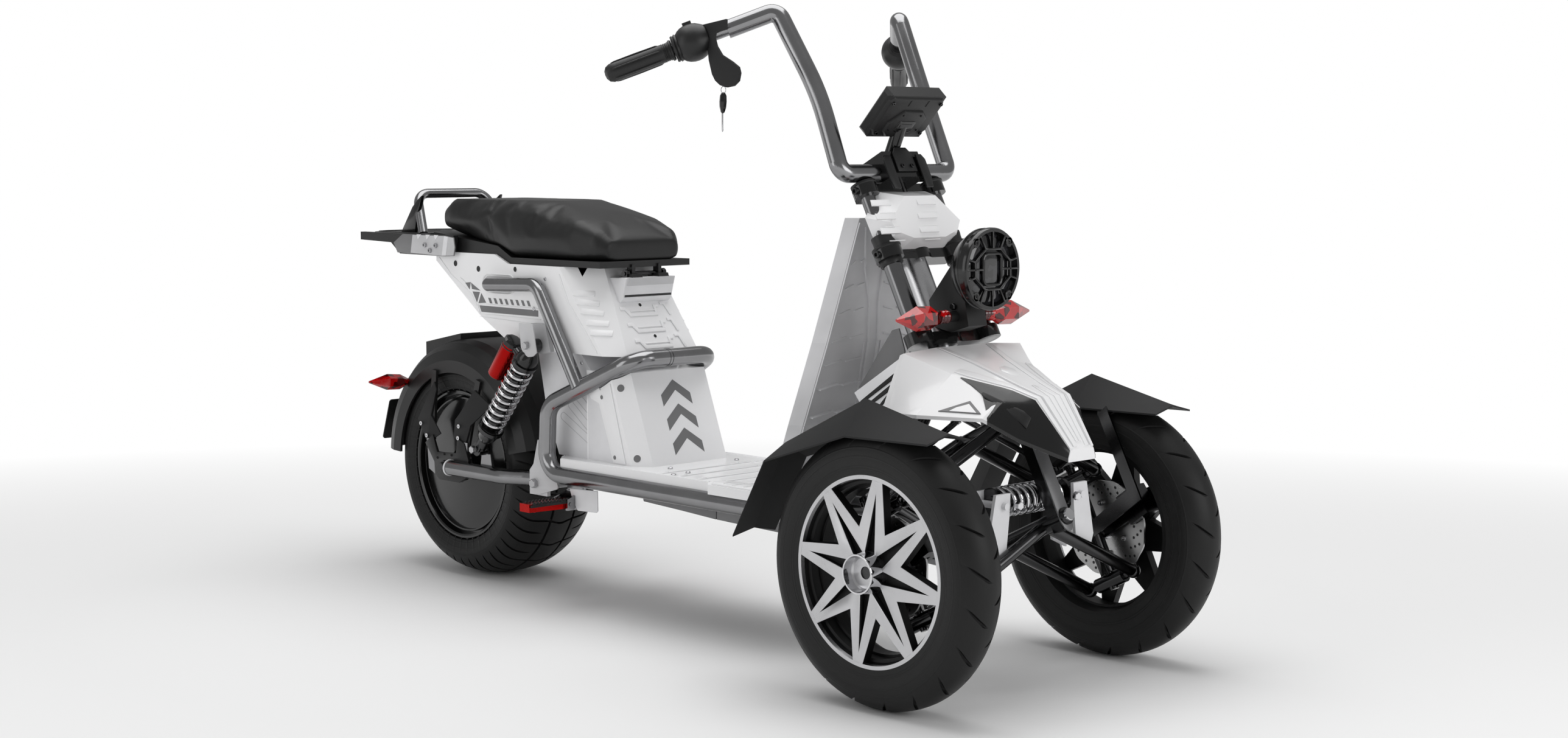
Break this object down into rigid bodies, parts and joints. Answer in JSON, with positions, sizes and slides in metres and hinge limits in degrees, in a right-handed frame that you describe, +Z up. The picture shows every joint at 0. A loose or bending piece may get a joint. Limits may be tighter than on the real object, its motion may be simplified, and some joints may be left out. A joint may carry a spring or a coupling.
{
  "type": "electric tricycle",
  "caption": "Low step-through electric tricycle with two steered, sprung front wheels, tall handlebars, a flat deck, one long seat and a wide driven rear wheel.",
  "frame": {"origin": "on the ground, below the middle of the overall box", "axes": "+Z up, +Y towards the rear, +X towards the rider's left, so the front faces -Y"},
  "size_m": [0.7702, 1.948, 1.1472],
  "materials": {
    "tyre": "matt black rubber",
    "wheel_metal": "machined silver",
    "disc_steel": "brushed",
    "frame_silver": "satin silver paint",
    "black_metal": "satin black",
    "black_plastic": "fine grain",
    "white_plastic": "gloss white",
    "grey_plastic": "satin light grey",
    "chrome": "polished",
    "grip_rubber": "ribbed",
    "seat_skin": "smooth black",
    "dark_glass": "smoked",
    "red_lens": "clear red",
    "red_metal": "anodised red",
    "plate_black": "flat"
  },
  "bodies": {
    "frame": {"body_side_right": "white_plastic", "body_side_left": "white_plastic", "front_frame": "black_metal", "trunnions": "black_metal", "grab_rail": "black_metal", "wishbones": "frame_silver", "main_frame": "frame_silver", "swingarm": "frame_silver", "belly_box": "black_plastic", "rear_fender": "black_plastic", "seat_hinge": "black_plastic", "rack": "black_plastic", "spring_ears": "grey_plastic", "leg_shield": "grey_plastic", "inner_cover": "grey_plastic", "rear_brackets": "grey_plastic", "tilt_spring": "chrome", "shock_springs": "chrome", "tilt_damper": "black_metal", "shocks": "black_metal", "rear_indicators": "red_lens", "tail_light": "red_lens", "hood": "white_plastic", "deck": "white_plastic", "battery_box": "white_plastic", "body_core": "white_plastic", "number_plate": "plate_black"},
    "steering": {"fork_legs": "black_metal", "steering_stem": "black_metal", "fork_crowns": "black_metal", "handlebar": "frame_silver", "grips": "grip_rubber", "switch_housings": "black_plastic", "display": "black_plastic", "nose_shield": "grey_plastic", "headlight": "black_plastic", "headlight_lens": "dark_glass", "light_bracket": "black_plastic", "front_indicators": "red_lens"},
    "seat": {"seat_pan": "grey_plastic", "seat_cushion": "seat_skin"},
    "rear_wheel": {"rear_hub": "black_metal", "rear_tyre": "tyre"},
    "knuckle_right": {"knuckle_right": "black_metal", "front_fender_right": "black_plastic"},
    "front_wheel_right": {"front_tyre_right": "tyre", "front_rim_right": "wheel_metal", "brake_disc_right": "disc_steel"},
    "tie_rod_right": {"tie_rod_right": "black_metal"},
    "footpeg_right": {"footpeg_right": "red_metal"},
    "knuckle_left": {"knuckle_left": "black_metal", "front_fender_left": "black_plastic"},
    "front_wheel_left": {"front_tyre_left": "tyre", "front_rim_left": "wheel_metal", "brake_disc_left": "disc_steel"},
    "tie_rod_left": {"tie_rod_left": "black_metal"},
    "footpeg_left": {"footpeg_left": "red_metal"}
  },
  "joints": [
    {"name": "steering", "type": "hinge", "parent": "frame", "child": "steering", "pos_m": [0, -0.894, 0], "axis": [0, 0.454, 0.891], "range_deg": [-30, 30]},
    {"name": "kingpin_right", "type": "hinge", "parent": "frame", "child": "knuckle_right", "pos_m": [-0.247, -0.744, 0.228], "axis": [0, 0.454, 0.891], "range_deg": [-30, 30]},
    {"name": "kingpin_left", "type": "hinge", "parent": "frame", "child": "knuckle_left", "pos_m": [0.247, -0.744, 0.228], "axis": [0, 0.454, 0.891], "range_deg": [-30, 30]},
    {"name": "front_wheel_right_spin", "type": "hinge", "parent": "knuckle_right", "child": "front_wheel_right", "pos_m": [-0.291, -0.746, 0.228], "axis": [1, 0, 0], "continuous": true},
    {"name": "front_wheel_left_spin", "type": "hinge", "parent": "knuckle_left", "child": "front_wheel_left", "pos_m": [0.291, -0.746, 0.228], "axis": [1, 0, 0], "continuous": true},
    {"name": "tie_rod_right_swing", "type": "hinge", "parent": "steering", "child": "tie_rod_right", "pos_m": [0, -0.63168, 0.44434], "axis": [0, 0.454, 0.891], "range_deg": [-30, 30]},
    {"name": "tie_rod_left_swing", "type": "hinge", "parent": "steering", "child": "tie_rod_left", "pos_m": [0, -0.63168, 0.44434], "axis": [0, 0.454, 0.891], "range_deg": [-30, 30]},
    {"name": "rear_wheel_spin", "type": "hinge", "parent": "frame", "child": "rear_wheel", "pos_m": [0, 0.66, 0.2385], "axis": [1, 0, 0], "continuous": true},
    {"name": "seat_hinge", "type": "hinge", "parent": "frame", "child": "seat", "pos_m": [0, 0.179, 0.657], "axis": [1, 0, 0], "range_deg": [0, 75]},
    {"name": "footpeg_right_fold", "type": "hinge", "parent": "frame", "child": "footpeg_right", "pos_m": [-0.16, 0.238, 0.21], "axis": [0, 1, 0], "range_deg": [0, 60]},
    {"name": "footpeg_left_fold", "type": "hinge", "parent": "frame", "child": "footpeg_left", "pos_m": [0.16, 0.238, 0.21], "axis": [0, -1, 0], "range_deg": [0, 60]}
  ],
  "couplings": [
    {"joint": "kingpin_right", "follows": "steering", "ratio": 1},
    {"joint": "kingpin_left", "follows": "steering", "ratio": 1},
    {"joint": "tie_rod_right_swing", "follows": "steering", "ratio": -1},
    {"joint": "tie_rod_left_swing", "follows": "steering", "ratio": -1}
  ]
}
